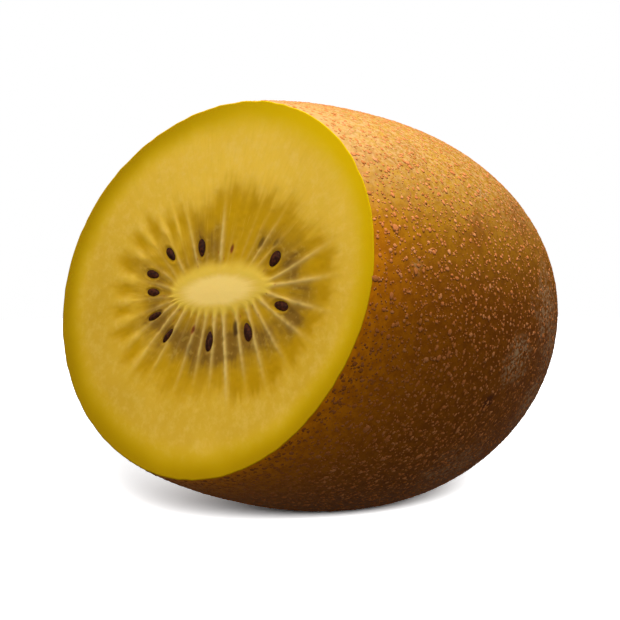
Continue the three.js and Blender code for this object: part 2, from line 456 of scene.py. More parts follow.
# Thousands of corky spots stand up from the skin, the scars of the hairs that the young fruit shed. Each is
# a low lumpy dome of orange-brown cork with its root in the skin. The larger ones are spread evenly but not
# in rows, and specks of the same cork fill the room between them.
SPOTS = {
    "count": 8600, "radius": 0.0002, "spread": 0.27, "squat": 0.17, "strayed": 0.0004, "seed": 17,
    "levels": ((0.6, 0.7), (1.05, -0.3)),
}
SPOT_SPECKS = {
    "count": 19000, "radius": 0.00012, "spread": 0.33, "squat": 0.24, "strayed": 0.0006, "seed": 18,
    "levels": ((1.0, -0.3),),
}
SPOT_SIDES = 6
BARE_RIM = 0.0003
BARE_STALK = 0.0011
LAST_SPOT_GAP = 0.0003
FLOOR_GAP = 0.00025
LEAST_GIRTH = 0.001
CORK_SHADE = {"reach": 0.011, "lowest": -0.006, "highest": 0.012}
GOLDEN_ANGLE = math.pi * (3 - math.sqrt(5))


def repeated(blocks, copies, corners):
    """The same faces for each of a number of like shapes whose points follow each other, corners to a
    shape."""
    shift = (np.arange(copies) * corners)[:, None, None]
    return [(block[None] + shift).reshape(-1, block.shape[1]) for block in blocks]


def cork_domes(count, radius, spread, squat, strayed, seed, levels):
    """Domes on a spiral that turns by the golden angle for each next one, every one strayed by a seeded
    draw. A dome is a top point, a ring for each of levels, which gives its reach and height, and a flat
    face underneath."""
    draw = np.random.default_rng(seed)
    order = np.arange(count)
    angle = order * GOLDEN_ANGLE + seed
    edge = rim_point(angle)[:, 1] + BARE_RIM
    length = edge + (HALF_LENGTH - BARE_STALK - edge) * (order + 0.5) / count
    girth = np.maximum(section_radius(angle) * profile_share(length), LEAST_GIRTH)
    angle = angle + draw.normal(0, strayed, count) / girth
    length = edge + np.abs(length + draw.normal(0, strayed, count) - edge)
    length = np.minimum(length, HALF_LENGTH - LAST_SPOT_GAP)
    foot = skin_surface(angle, length)
    size = radius * np.exp(draw.normal(0, spread, count)) * (1.1 - 0.3 * ramp(length, 0, 0.03))
    squat = squat * draw.uniform(0.7, 1.3, count)
    tone = draw.uniform(0, 1, count)
    # Painted shade: the spots on the lower side, most near the cut, are darkened towards CORK_SHADED.
    shaded = 0.35 + 0.65 * np.exp(-(length - edge) / CORK_SHADE["reach"])
    shaded *= 1 - ramp(foot[:, 2], CORK_SHADE["lowest"], CORK_SHADE["highest"])

    normal = outward(foot)
    sideways = np.cross(normal, [0, 1, 0])
    sideways /= np.linalg.norm(sideways, axis=-1, keepdims=True)
    forward = np.cross(normal, sideways)
    turn = draw.uniform(0, FULL_TURN, (count, 1)) + np.arange(SPOT_SIDES) / SPOT_SIDES * FULL_TURN
    ragged = draw.uniform(0.75, 1.2, (count, SPOT_SIDES))
    longer = draw.uniform(0.85, 1.3, (count, 1))
    rings = [
        (reach * ragged * np.cos(turn) * longer)[..., None] * sideways[:, None]
        + (reach * ragged * np.sin(turn) / longer)[..., None] * forward[:, None]
        + (height * squat)[:, None, None] * normal[:, None]
        for reach, height in levels
    ]
    top = (squat[:, None] * normal)[:, None]
    shape = np.concatenate([top, *rings], axis=1) * size[:, None, None] + foot[:, None]

    here = np.arange(SPOT_SIDES)
    beside = (here + 1) % SPOT_SIDES
    blocks = [np.stack([np.zeros(SPOT_SIDES, int), 1 + here, 1 + beside], axis=-1)]
    for k in range(len(levels) - 1):
        upper, lower = 1 + k * SPOT_SIDES, 1 + (k + 1) * SPOT_SIDES
        blocks.append(np.stack([upper + here, lower + here, lower + beside, upper + beside], axis=-1))
    blocks.append((1 + (len(levels) - 1) * SPOT_SIDES + here[::-1])[None])

    clear_of_floor = lying(foot)[:, 2] > FLOOR_GAP
    shape, tone, shaded = shape[clear_of_floor], tone[clear_of_floor], shaded[clear_of_floor]
    corners = 1 + len(levels) * SPOT_SIDES
    marks = {"tone": np.repeat(tone, corners), "shaded": np.repeat(shaded, corners)}
    return lying(shape), repeated(blocks, len(shape), corners), marks


CORK_DARK = (0.46, 0.155, 0.028, 1)
CORK_ORANGE = (0.6, 0.19, 0.05, 1)
CORK_TAN = (0.7, 0.28, 0.1, 1)
CORK_SHADED = (0.2, 0.055, 0.005, 1)


def cork_finish():
    """Matt orange-brown cork, each spot a little different, from a dust-coloured tan to dark brown, with
    painted shade that darkens the spots on the lower side, most near the cut.
    """
    add, finish = new_material("corky_spot", {"Specular IOR Level": 0.05})
    tone = mark(add, "tone")
    grain = grained(add, 4800, 0.6, 0.8, 0.00004)
    colour = mixed(add, stepped(add, tone, 0.0, 0.45), CORK_DARK, CORK_ORANGE)
    colour = mixed(add, stepped(add, tone, 0.55, 1.0), colour, CORK_TAN)
    colour = mixed(add, worked(add, stepped(add, grain["Mask"], 0.5, 0.7), 0.6), colour, CORK_TAN)
    return finish(tinted(add, colour, "shaded", CORK_SHADED, 0.9), grain)


spots = new_piece("corky_spots", *cork_domes(**SPOTS))
specks = new_piece("corky_specks", *cork_domes(**SPOT_SPECKS))
cork = cork_finish()
for cork_piece in (spots, specks):
    cork_piece.data.materials.append(cork)
    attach(cork_piece, "root")


# The fruit hung from a stalk, and where it broke off a round corky scar is left on the mound in the dimple:
# a woody rim with the stubs of five dried sepals, and a sunken middle with the ends of the vessels that fed
# the fruit.
SCAR_RADIUS = 0.0021
SCAR_AROUND = 140
SCAR_RINGS = 26
SCAR_THICKNESS = 0.0003
SCAR_LOBES = 5
SCAR_TURN = 0.6
SCAR_VESSELS = 17
SCAR_DARK = (0.11, 0.05, 0.02, 1)
SCAR_CORK = (0.3, 0.16, 0.07, 1)
SCAR_WOOD = (0.5, 0.36, 0.2, 1)


def scar_point(angle, share):
    """A place on the skin, a share of SCAR_RADIUS from the fruit's long axis, out to a ragged edge with
    five lobes."""
    ragged = soft_noise(np.stack([np.cos(angle), np.sin(angle), share * 0.5], -1), 0.35, 21)
    uneven = 0.1 * np.cos(SCAR_LOBES * angle + SCAR_TURN) + 0.09 * ragged
    radius = share * SCAR_RADIUS * (1 + uneven * share)
    narrowed = radius / (section_radius(angle) * (1 + EGG_SHARE))
    return skin_surface(angle, HALF_LENGTH * (1 - narrowed ** 2) ** (1 / PROFILE_POWER))


scar_angle = np.arange(SCAR_AROUND) / SCAR_AROUND * FULL_TURN
scar_share = np.linspace(0, 1, SCAR_RINGS + 1)[1:, None] * np.ones(SCAR_AROUND)
scar_turn = np.ones_like(scar_share) * scar_angle
scar_top = scar_point(scar_turn, scar_share)
lumps = soft_noise(scar_top, 0.00035, 22) + 0.6 * soft_noise(scar_top, 0.00015, 23)
stubs = bell(scar_share, 0.86, 0.13) * np.clip(np.cos(SCAR_LOBES * scar_turn + SCAR_TURN), 0, 1) ** 2
vessels = bell(scar_share, 0.42, 0.09) * np.clip(np.cos(SCAR_VESSELS * scar_turn), 0, 1)
scar_height = (0.00012 + 0.00022 * bell(scar_share, 0.72, 0.16) - 0.0003 * bell(scar_share, 0, 0.4)
               + 0.0003 * stubs + 0.00005 * vessels + 0.00005 * lumps)
scar_height *= 1 - ramp(scar_share, 0.92, 1.0)
scar_top[..., 1] += scar_height
scar_under = scar_point(scar_turn[-1:], scar_share[-1:] * 0.97) - [0, SCAR_THICKNESS, 0]
scar_first = scar_top[0].mean(axis=0)
scar_rings = np.concatenate([scar_top, scar_under])[:, ::-1]
scar_last = scar_under[0].mean(axis=0) - [0, SCAR_THICKNESS, 0]


def scar_mark(values):
    """A number at each point of the scar's top as one list for the whole piece, 0 underneath."""
    whole = np.concatenate([values, np.zeros((1, SCAR_AROUND))])[:, ::-1, None]
    return with_poles(whole, values[0].mean(), 0)


def scar_finish():
    """Dry cork, dark in the hollows, paler on the worn rim and stubs, with pale woody ends of vessels."""
    add, finish = new_material("stalk_scar", {"Specular IOR Level": 0.2})
    grain = grained(add, 3600, 0.7, 0.9, 0.00008)
    colour = mixed(add, stepped(add, grain["Mask"], 0.4, 0.62), SCAR_DARK, SCAR_CORK)
    colour = tinted(add, colour, "raised", SCAR_CORK, 0.8)
    colour = tinted(add, colour, "woody", SCAR_WOOD, stepped(add, grain["Mask"], 0.35, 0.55))
    return finish(colour, grain)


scar = new_piece(
    "stalk_scar",
    lying(with_poles(scar_rings, scar_first, scar_last)),
    ring_faces(len(scar_rings), SCAR_AROUND),
    {
        "raised": scar_mark(bell(scar_share, 0.74, 0.12)),
        "woody": scar_mark(np.maximum(vessels, 0.6 * stubs)),
    },
)
scar.data.materials.append(scar_finish())
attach(scar, "root")


# The flesh shows on the cut. A pale core lies in the middle, thin pale walls run out from it between the
# seed chambers, and past the chambers comes paler outer flesh that turns olive under the skin. All of it is
# one body.
FLESH_AROUND = 620
CORE_RINGS = 14
CHAMBER_RINGS = 80
OUTER_RINGS = 34
BACK_RINGS = 6
FINE_RINGS_END = 0.64  # of the way from core to rim
LAST_INNER_RING = 0.992
CORE_SHARE = 0.12  # what the way inside the core counts for, on the same measure
CORE = {"x": 0.0008, "half_length": 0.007, "half_height": 0.0022, "turn": math.radians(9), "proud": 0.00012}
CHAMBER_SINK = 0.00008
WALL_RISE = 0.00005
WALL_WIDTH = {"least": 0.00015, "root": 0.0003, "root_reach": 0.05, "further": 0.00018}
FINE_RISE = 0.00002
FIBRE_RISE = 0.000006
SEAT_LIP = 0.00004
SEAT_SINK = 0.00008
TUCKS = ((0.00001, 0.00006), (0.6 * SKIN_DEPTH, 0.0002), (2.2 * SKIN_DEPTH, 0.0006))
# Each wall: its angle near the core and half way out, in degrees, how clear it is, and how far it reaches.
# Then the chamber on the side of it where angles are smaller: where it ends, how amber its tip is, and how
# grey it is and where
WALLS = (
    (-171, -170, 0.3, 0.5, 0.55, 0.9, 0.6, 0.15),
    (-160.5, -159, 0.35, 0.48, 0.57, 0.9, 0.5, 0.16),
    (-152, -146.6, 0.6, 0.58, 0.56, 0.9, 0.7, 0.18),
    (-141, -134.6, 0.7, 0.65, 0.58, 0.8, 0.75, 0.2),
    (-129.6, -123.4, 0.7, 0.58, 0.57, 0.7, 0.65, 0.2),
    (-119, -115, 0.15, 0.5, 0.5, 0.5, 0.55, 0.18),
    (-109.6, -105.2, 0.55, 0.55, 0.53, 0.5, 0.7, 0.18),
    (-100, -94.4, 0.7, 0.52, 0.52, 0.5, 0.85, 0.2),
    (-89.4, -83.4, 0.85, 0.52, 0.48, 0.6, 0.8, 0.2),
    (-79, -72.4, 0.9, 0.7, 0.5, 0.7, 0.85, 0.2),
    (-64.6, -60.4, 0.7, 0.55, 0.58, 0.9, 0.85, 0.22),
    (-50.3, -48.7, 0.8, 0.62, 0.6, 1.0, 0.85, 0.22),
    (-38.8, -34.4, 0.65, 0.62, 0.63, 1.0, 0.8, 0.27),
    (-25.5, -19, 0.7, 0.72, 0.64, 1.0, 0.7, 0.3),
    (-9, -4.4, 0.75, 0.7, 0.66, 0.8, 0.85, 0.35),
    (6, 10, 0.9, 0.72, 0.68, 0.9, 0.7, 0.35),
    (16.5, 23.4, 0.75, 0.75, 0.68, 0.9, 0.65, 0.25),
    (33, 32, 0.15, 0.5, 0.62, 0.7, 0.75, 0.27),
    (45, 44.5, 0.3, 0.48, 0.52, 0.3, 0.5, 0.27),
    (54.5, 54, 0.5, 0.5, 0.55, 0.6, 0.5, 0.25),
    (62, 62.5, 0.15, 0.5, 0.52, 0.7, 0.4, 0.18),
    (69.5, 70, 0.12, 0.5, 0.52, 0.6, 0.1, 0.2),
    (79, 79.5, 0.25, 0.3, 0.5, 0.9, 0.1, 0.2),
    (84, 85, 0.15, 0.4, 0.52, 0.5, 0.1, 0.2),
    (92, 95, 0.95, 0.5, 0.55, 0.5, 0.15, 0.12),
    (100, 102, 0.12, 0.4, 0.55, 0.3, 0.6, 0.13),
    (107.5, 110, 0.25, 0.3, 0.46, 0.3, 0.6, 0.15),
    (118.5, 122.4, 0.65, 0.55, 0.45, 0.5, 0.5, 0.12),
    (129.5, 130, 0.12, 0.5, 0.5, 0.8, 0.25, 0.1),
    (138, 139.5, 0.5, 0.45, 0.48, 0.6, 0.25, 0.1),
    (150, 151, 0.3, 0.5, 0.56, 0.8, 0.2, 0.15),
    (158.5, 162, 0.4, 0.45, 0.58, 0.9, 0.25, 0.15),
    (172, 177.5, 0.35, 0.5, 0.56, 0.8, 0.55, 0.16),
)
# The seeds lie in a ring round the core, each at an angle, a share of the way out, a length and a width
# against the usual, and turned by some degrees out of the ray. Others lie under a film of flesh and show as
# dark stains, each with an angle, a share, a size and a darkness. Two more never filled, and are small and
# red-brown
SEEDS = (
    (167.5, 0.249, 1.0, 0.85, 12), (183, 0.196, 0.98, 0.8, 0), (207, 0.214, 1.02, 0.68, 0),
    (143.5, 0.231, 1.0, 0.92, 8), (113, 0.164, 1.05, 1.0, 0), (36.5, 0.176, 1.02, 1.3, 12),
    (-14, 0.216, 1.14, 1.0, 17), (-55, 0.181, 1.12, 1.1, 5), (-91.5, 0.184, 1.18, 1.0, 10),
    (-130, 0.23, 1.0, 0.65, 4),
)
COVERED_SEEDS = (
    (82, 0.137, 0.45, 0.45), (57, 0.204, 0.7, 0.6), (46, 0.259, 0.6, 0.45), (-66.5, 0.135, 0.85, 0.8),
    (-110, 0.124, 0.55, 0.45), (-107, 0.243, 0.8, 0.3), (26, 0.235, 0.8, 0.25), (-11, 0.3, 0.9, 0.2),
)
STUNTED_SEEDS = (82, -110)
SEED_HALF = (0.00116, 0.00062, 0.00042)
SMUDGE_HALF = (0.0026, 0.0012)
STUNTED_HALF = (0.0006, 0.0003)
DOT_HALF = (0.00015, 0.00009)
DOTS = 18


def core_point(angle, share=1.0):
    """A point on an ellipse round the core, turned a little in the cut, a share of the way out to its
    edge."""
    x = CORE["half_length"] * np.cos(angle) * share
    z = CORE["half_height"] * np.sin(angle) * share
    turned_x = CORE["x"] + x * math.cos(CORE["turn"]) - z * math.sin(CORE["turn"])
    turned_z = x * math.sin(CORE["turn"]) + z * math.cos(CORE["turn"])
    return np.stack(np.broadcast_arrays(turned_x, cut_plane(turned_z), turned_z), axis=-1)


def flesh_point(angle, share):
    """A point on the flat cut, a share of the way from the core's edge to the rim."""
    core, edge = core_point(angle), skin_surface(angle, rim_point(angle)[..., 1])
    edge[..., 1] = cut_plane(edge[..., 2])
    return core + (edge - core) * np.asarray(share)[..., None]


def turned_away(angle, centre):
    """The signed angle from centre to angle, the short way round."""
    return (angle - centre + math.pi) % FULL_TURN - math.pi


def facing(degrees_round, width):
    """A hump over the cut's angles, 1 at one of them and falling away by width, in radians, on both
    sides."""
    return bell(turned_away(angle_grid, math.radians(degrees_round)), 0, width)


flesh_angle = np.arange(FLESH_AROUND) / FLESH_AROUND * FULL_TURN
inner_shares = np.linspace(0, 1, CORE_RINGS + 1)[1:]
outer_shares = np.concatenate([
    np.linspace(0, FINE_RINGS_END, CHAMBER_RINGS + 1)[1:],
    np.linspace(FINE_RINGS_END, LAST_INNER_RING, OUTER_RINGS)[1:],
    [1.0],
])
core_grid = core_point(flesh_angle[None, :], inner_shares[:, None])
outer_grid = flesh_point(
    np.tile(flesh_angle, (len(outer_shares), 1)),
    np.tile(outer_shares[:, None], (1, FLESH_AROUND)),
)
face_grid = np.concatenate([core_grid, outer_grid])
out = np.concatenate([(inner_shares - 1) * CORE_SHARE, outer_shares])[:, None] * np.ones(FLESH_AROUND)
angle_grid = np.ones_like(out) * flesh_angle
spread = np.linalg.norm(np.roll(face_grid, -1, axis=1) - face_grid, axis=-1) * FLESH_AROUND / FULL_TURN
rightwards = np.cos(angle_grid)
upwards = np.sin(angle_grid)
ray = np.stack([rightwards, upwards, out], axis=-1)
streaks = soft_noise(ray * [1, 1, 0.22], 0.025, 5)
broad = soft_noise(ray * [1, 1, 0.375], 0.1, 6)
clouds = soft_noise(face_grid, 0.0035, 7)
small_clouds = soft_noise(face_grid, 0.0012, 9)
fine = soft_noise(face_grid, 0.0005, 8)

# The walls lean as they run out. A place's lane counts the walls up to it, in parts of the way to the next
near, far, clear, reach, end, amber, grey, grey_place = np.array(WALLS).T
lean = (1 - np.exp(-(out[:, :1] - 0.1) / 0.3)) / (1 - math.exp(-0.4 / 0.3))
wall_turn = np.radians(near + (far - near) * lean)
wall_turn = np.concatenate([wall_turn[:, -1:] - FULL_TURN, wall_turn, wall_turn[:, :1] + FULL_TURN], axis=1)
wall_count = np.arange(wall_turn.shape[1])
short_angle = turned_away(angle_grid, 0)
lane = np.stack([np.interp(angles, turns, wall_count) for angles, turns in zip(short_angle, wall_turn)])
below = np.clip(np.floor(lane).astype(int), 0, len(wall_count) - 2)
within = lane - below
side = np.clip(np.abs(2 * within - 1) + 0.15 * small_clouds * ramp(out, 0.15, 0.4), 0, 1)
gap = np.take_along_axis(np.diff(wall_turn, axis=1), below, axis=1)
nearest = (below - 1 + (within > 0.5)) % len(WALLS)
from_wall = np.minimum(within, 1 - within) * gap * spread
past_core = np.clip(out, 0, 1)
wall_width = WALL_WIDTH["least"] + WALL_WIDTH["root"] * np.exp(-past_core / WALL_WIDTH["root_reach"])
wall_width += WALL_WIDTH["further"] * past_core
line = 0.7 * bell(from_wall, 0, wall_width) + 0.3 * bell(from_wall, 0, 2.2 * wall_width)
reach = reach[nearest] + 0.05 * broad
faint = 1 - (0.45 * ramp(-rightwards, 0.2, 0.7) + 0.25 * ramp(rightwards, 0.4, 0.8)) * ramp(out, 0.1, 0.25)
faint = faint * (1 - 0.8 * ramp(upwards, 0.0, 0.5) * (1 - ramp(out, 0.03, 0.12)))
wall = clear[nearest] * line * faint * (1 - ramp(out, reach - 0.35, reach))
wall *= ramp(out, -0.01, 0.05)
wall *= 1 + 0.25 * fine

# What the table gives for a chamber holds in its middle, and goes over into the next chamber's
middles = np.arange(len(WALLS) + 1) + 0.5
end, amber, grey, grey_place = (
    np.interp(lane, middles, np.append(values, values[0])) for values in (end, amber, grey, grey_place)
)

# Below the core the chambers start in rounded arches, and above it along a soft edge. They end in fingers,
# which are slim at the left
right = facing(4, 0.3)
lower = ramp(-upwards, -0.6, 0.3)
arch = 0.002 + 0.043 * lower
start = 0.05 * right + arch * side ** 2 + 0.015 * (1 - lower) * (1 + broad + small_clouds) + 0.003 * streaks
below_core = facing(-95, 0.6)
end = end + 0.02 + 0.035 * below_core + 0.03 * broad + 0.03 * streaks + 0.03 * small_clouds
slim = ramp(-rightwards, 0.3, 0.8)
fullness = 1.7 - 1.0 * slim * ramp(out, end - 0.3, end - 0.16)
open_side = 1 - ramp(side, fullness - 0.55, fullness + 0.3)
chambers = ramp(out, start - 0.02, start + 0.07 - 0.04 * lower)
chambers *= 1 - ramp(out, end - 0.2 + 0.08 * slim, end + 0.08)
chambers *= open_side
chambers *= 1 - 0.35 * slim * bell(out, end - 0.24, 0.07)
tips = amber * (1 - 0.45 * slim) * bell(out, end - 0.12, 0.08)
tips *= 1 - ramp(side, 0.3 - 0.2 * slim, 1.1 - 0.2 * slim)
tips = np.maximum(tips, 0.8 * bell(out, start + 0.05, 0.04) * ramp(-upwards, -0.7, 0.2))
honey = facing(24, 0.35) * bell(out, 0.09, 0.06)
tips = np.maximum(tips, honey)
stain = (1.1 + 0.4 * below_core) * grey * bell(out, grey_place + 0.01 + 0.03 * small_clouds, 0.125)


def seat_of(degrees_round, share, turned=0):
    """A seed's place on the cut, the way that it lies, turned by some degrees out of the ray from the core,
    and the way across it."""
    angle = np.array(math.radians(degrees_round))
    here, further = flesh_point(angle, share), flesh_point(angle, share + 0.05)
    ray_way = (further - here) / np.linalg.norm(further - here)
    cross_way = np.array([-ray_way[2], 0, ray_way[0]])
    lengthways = ray_way * math.cos(math.radians(turned)) + cross_way * math.sin(math.radians(turned))
    crossways = np.array([-lengthways[2], 0, lengthways[0]])
    return here, lengthways, crossways


def oval(degrees_round, share, half_length, half_width, turned=0):
    """How far each point of the cut is from a place on it, counted in half lengths and half widths of an
    oval."""
    here, lengthways, crossways = seat_of(degrees_round, share, turned)
    away = face_grid - here
    return np.hypot(away @ lengthways / half_length, away @ crossways / half_width)


# Grey smudges beyond the seeds, seeds under a film of flesh, red-brown dots, and stunted seeds
draw = np.random.default_rng(23)
covered = np.zeros_like(out)
ruddy = np.zeros_like(out)
for degrees_round, share, long, wide, turned in SEEDS:
    smudge = oval(degrees_round, share + draw.uniform(0.02, 0.08), *SMUDGE_HALF)
    stain = np.maximum(stain, draw.uniform(0.4, 0.75) * np.exp(-smudge ** 2))
    wall *= ramp(oval(degrees_round, share, SEED_HALF[0] * long, SEED_HALF[1] * wide, turned), 0.95, 1.5)
for degrees_round, share, size, darkness in COVERED_SEEDS:
    shape = oval(degrees_round, share, SEED_HALF[0] * size, SEED_HALF[1] * size * 0.8)
    covered = np.maximum(covered, darkness * (1 - ramp(shape + 0.2 * fine, 0.4, 1.3)))
stain = np.clip(stain * (1.15 + 0.3 * clouds + 0.4 * small_clouds + 0.3 * streaks), 0, 1)
for _ in range(DOTS):
    dot = oval(draw.uniform(-180, 180), draw.uniform(0.03, 0.13), *DOT_HALF)
    ruddy = np.maximum(ruddy, draw.uniform(0.3, 0.8) * np.exp(-dot ** 2))
for degrees_round in STUNTED_SEEDS:
    stunted = oval(degrees_round, 0.13, *STUNTED_HALF)
    ruddy = np.maximum(ruddy, 0.9 * (1 - ramp(stunted, 0.4, 1.3)))

# The core's soft edge and feathered surround, how the flesh yellows and then turns olive near the skin, and
# painted shade on the cut away from its top
core_mask = 1 - ramp(out + 0.004 * streaks + 0.006 * broad, -0.052, -0.002)
halo = 1 - ramp(out + 0.004 * streaks, start - 0.04 + 0.02 * lower, start + 0.08 - 0.04 * lower)
halo *= 1 - core_mask
yellow_edge = ramp(out + 0.015 * clouds, 0.76, 0.96)
# The olive under the skin is the flesh's own. Keeping it off the upper right leaves the rest of the rim
# darker, as painted shade.
olive_edge = ramp(out + 0.02 * clouds, 0.8, 1.0) * (1 - facing(50, 0.9))
# Deeper gold near the core is the flesh's own; deeper gold in the outer flesh, everywhere but the top of
# the cut, is painted shade.
deep = (1 - facing(80, 1.2)) * (0.72 + 0.28 * facing(-15, 0.6)) * ramp(out, 0.3, 0.5)
deep = np.maximum(deep, 0.8 * (1 - ramp(out, 0.1, 0.35)))
# Painted shade: the outer flesh is darkened towards the lower left of the cut.
painted_shade_left = 0.7 * facing(-150, 0.8) * ramp(out, 0.4, 0.7)

# Relief of the wet cut
soft = ramp(out, -0.02, 0.05)
relief = CORE["proud"] * (1 - soft) * (0.75 - 0.25 * np.cos(np.clip(out / -CORE_SHARE, 0, 1) * math.pi))
relief += WALL_RISE * wall * (1 - ramp(out, 0.3, 0.62))
relief -= CHAMBER_SINK * chambers * (1 - wall) * (1 + 0.4 * clouds)
grain_rise = FINE_RISE * fine * (0.3 + chambers) + FIBRE_RISE * streaks * ramp(out, 0.3, 0.5)
relief += grain_rise * (1 - ramp(out, 0.9, 0.99))
for degrees_round, share, long, wide, turned in SEEDS:
    seat = oval(degrees_round, share, SEED_HALF[0] * long * 1.1, SEED_HALF[1] * wide * 1.15, turned)
    relief += SEAT_LIP * bell(seat, 1.15, 0.22) - SEAT_SINK * (1 - ramp(seat, 0.8, 1.05))
face_grid = face_grid - relief[..., None] * np.array([0, 1, 0])

# Behind the rim the flesh turns back under the skin
edge_ring = face_grid[-1:]
inwards = -outward(edge_ring) * [1, 0, 1]
tucks = np.concatenate([
    edge_ring + inwards * depth + [0, back, 0]
    for depth, back in TUCKS
])
back_shares = np.linspace(0.12, 0.94, BACK_RINGS)[:, None]
back_y = edge_ring[0, :, 1] + (HALF_LENGTH - edge_ring[0, :, 1]) * np.sin(back_shares * math.pi / 2)
back_grid = skin_surface(flesh_angle[None, :], back_y, -2.2 * SKIN_DEPTH)
hidden_grid = np.concatenate([tucks, back_grid])
flesh_rings = np.concatenate([face_grid, hidden_grid])
flesh_first = core_point(np.array(0.0), 0.0) - [0, CORE["proud"], 0]
flesh_last = np.array([0, HALF_LENGTH - STALK_DIMPLE["depth"] - 4 * SKIN_DEPTH, 0])


def face_mark(values):
    """A mark of the cut face as one list for the whole flesh, its values at the rim carried on behind
    it."""
    carried = np.repeat(values[-1:], len(hidden_grid), axis=0)
    whole = with_poles(np.concatenate([values, carried]), values[0].mean(axis=0), values[-1].mean(axis=0))
    return whole if values.ndim > 2 else whole[:, 0]


flesh_marks = {
    "ray": ray,
    "core": core_mask,
    "halo": halo,
    "wall": wall,
    "chamber": chambers * (1 - 0.8 * wall),
    "tip": tips * np.clip(chambers * 1.6, 0, 1) * (1 - 0.8 * wall),
    "stain": stain * chambers * (1 - 0.7 * wall),
    "covered": covered,
    "ruddy": ruddy,
    "yellow_edge": yellow_edge,
    "olive_edge": olive_edge,
    "deep": np.clip(deep + 0.2 * clouds, 0, 1),
    "painted_shade_left": painted_shade_left,
}
flesh = new_piece(
    "flesh",
    lying(with_poles(flesh_rings, flesh_first, flesh_last)),
    ring_faces(len(flesh_rings), FLESH_AROUND),
    {name: face_mark(values) for name, values in flesh_marks.items()},
)

FLESH_PALE = (0.79, 0.49, 0.05, 1)
FLESH_DEEP = (0.6, 0.355, 0.022, 1)
FLESH_YELLOW = (0.71, 0.445, 0.0, 1)
FLESH_OLIVE = (0.4, 0.23, 0.0, 1)
FLESH_PAINTED_SHADE = (0.84, 0.82, 0.72, 1)
FLESH_MILKY = (0.84, 0.57, 0.13, 1)
CORE_CREAM = (0.86, 0.6, 0.16, 1)
HALO_YELLOW = (0.7, 0.46, 0.055, 1)
CHAMBER_AMBER = (0.53, 0.288, 0.002, 1)
CHAMBER_TIP = (0.44, 0.23, 0.0, 1)
STAIN_GREY = (0.2, 0.097, 0.011, 1)
WALL_PALE = (0.64, 0.45, 0.15, 1)
GLINT_PALE = (0.66, 0.43, 0.07, 1)
SEED_BROWN = (0.035, 0.013, 0.006, 1)
RUDDY = (0.3, 0.06, 0.01, 1)
FIBRE_SCALE = (60, 60, 7)
FLESH_SHADER = {
    "Specular IOR Level": 0.02,
    "Subsurface Weight": 0.3,
    "Subsurface Radius": (1.0, 0.6, 0.15),
    "Subsurface Scale": 0.0007,
}


def flesh_finish():
    """Translucent golden flesh, coloured by the marks that were worked out with its relief, some of them
    painted shade, with fine fibres that run out from the core and pale wisps in the chambers that are
    painted glints on the wet juice."""
    add, finish = new_material("kiwi_flesh", FLESH_SHADER)
    rays = add("ShaderNodeAttribute", attribute_name="ray").outputs["Vector"]
    along = add("ShaderNodeMapping", {"Vector": rays, "Scale": FIBRE_SCALE}).outputs[0]
    place = add("ShaderNodeTexCoord").outputs["Object"]
    fibres = noise(add, along, 1, 3, 0.6)
    mottle = noise(add, place, 800, 4, 0.65)
    wisps = noise(add, place, 1500, 1)

    colour = mixed(add, worked(add, stepped(add, fibres, 0.4, 0.75), 0.2), FLESH_PALE, FLESH_DEEP)
    colour = tinted(add, colour, "deep", FLESH_DEEP)
    colour = mixed(add, worked(add, stepped(add, mottle, 0.42, 0.72), 0.3), colour, FLESH_MILKY)
    colour = tinted(add, colour, "yellow_edge", FLESH_YELLOW)
    colour = tinted(add, colour, "olive_edge", FLESH_OLIVE)
    colour = mixed(add, mark(add, "painted_shade_left"), colour, mixed(add, 1.0, colour, FLESH_PAINTED_SHADE, "MULTIPLY"))
    colour = tinted(add, colour, "chamber", CHAMBER_AMBER, stepped(add, fibres, 0.05, 0.45))
    colour = tinted(add, colour, "tip", CHAMBER_TIP, 0.9)
    colour = tinted(add, colour, "stain", STAIN_GREY, 0.95)
    # Painted glints: pale wisps in the chambers stand in for light catching the wet juice.
    glints = worked(add, stepped(add, wisps, 0.55, 0.75), stepped(add, mark(add, "stain"), 0.1, 0.5))
    colour = mixed(add, worked(add, glints, 0.2), colour, GLINT_PALE)
    colour = tinted(add, colour, "wall", WALL_PALE, 0.8)
    colour = tinted(add, colour, "halo", HALO_YELLOW)
    colour = tinted(add, colour, "core", CORE_CREAM)
    colour = tinted(add, colour, "ruddy", RUDDY)
    colour = tinted(add, colour, "covered", SEED_BROWN)
    return finish(colour, grained(add, 3500, 0.38, 0.58, 0.00002))


flesh.data.materials.append(flesh_finish())
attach(flesh, "root")


# The whole seeds are hard and dark brown, flat ovals with one end drawn to a point towards the core. Each
# lies along its chamber, sunk in the flesh that it grew in until only its upper side shows.
SEED_AROUND = 28
SEED_RINGS = 18
SEED_SUNK = 0.00036


def seed_shape(degrees_round, share, long, wide, turned):
    """Rings across a flat oval: at s from -1 to 1 along it, the ring's size is the root of 1 - s^2,
    narrowed towards the core's end."""
    here, long_way, cross_way = seat_of(degrees_round, share, turned)
    out_way = np.array([0, -1, 0])
    s = np.cos(np.linspace(0, math.pi, SEED_RINGS + 2))[1:-1][:, None]
    girth = np.sqrt(1 - s * s) * (1 + 0.16 * s)
    turn = np.arange(SEED_AROUND) / SEED_AROUND * FULL_TURN
    half = np.array(SEED_HALF) * [long, wide, 1]
    rings = (long_way * (half[0] * s)[..., None]
             + cross_way * (half[1] * girth * np.cos(turn))[..., None]
             + out_way * (half[2] * girth * np.sin(turn))[..., None])
    middle = here - out_way * SEED_SUNK
    return with_poles(rings + middle, middle + long_way * half[0], middle - long_way * half[0])


SEED_DARK = (0.022, 0.0055, 0.0025, 1)
SEED_RED = (0.085, 0.02, 0.006, 1)


